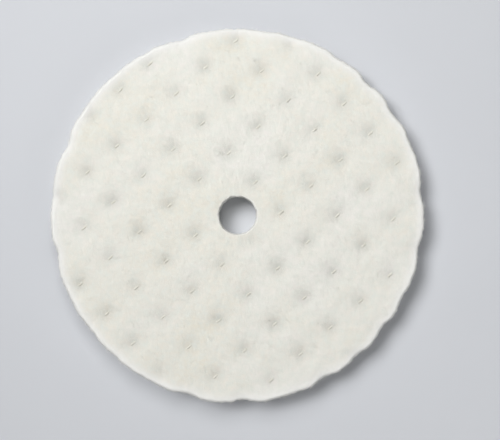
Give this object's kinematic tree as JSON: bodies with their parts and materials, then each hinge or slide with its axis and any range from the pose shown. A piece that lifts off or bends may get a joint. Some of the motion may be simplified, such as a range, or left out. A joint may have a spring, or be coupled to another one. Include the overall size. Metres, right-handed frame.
{
  "type": "felt polishing wheel",
  "caption": "Flat round felt polishing wheel with a plain spindle bore, built from felt plies that thread ties hold together on a square grid of shallow dimples.",
  "frame": {"origin": "on the bore axis, at the rear face that the wheel lies on", "axes": "+Z along the bore axis out of the working face; +X and +Y in the plane of the wheel, with the rows of ties turned 41.5 degrees from +X towards +Y"},
  "size_m": [0.1524, 0.1524, 0.0127],
  "materials": {
    "felt": "creamy-white pressed wool felt, matt and slightly hairy",
    "thread": "undyed twisted cotton thread, matt"
  },
  "bodies": {
    "root": {"back_felt": "felt", "core_felt_rear": "felt", "core_felt_front": "felt", "face_felt": "felt", "tack_row_1": "thread", "tack_row_2": "thread", "tack_row_3": "thread", "tack_row_4": "thread", "tack_row_5": "thread", "tack_row_6": "thread", "tack_row_7": "thread"}
  },
  "joints": []
}
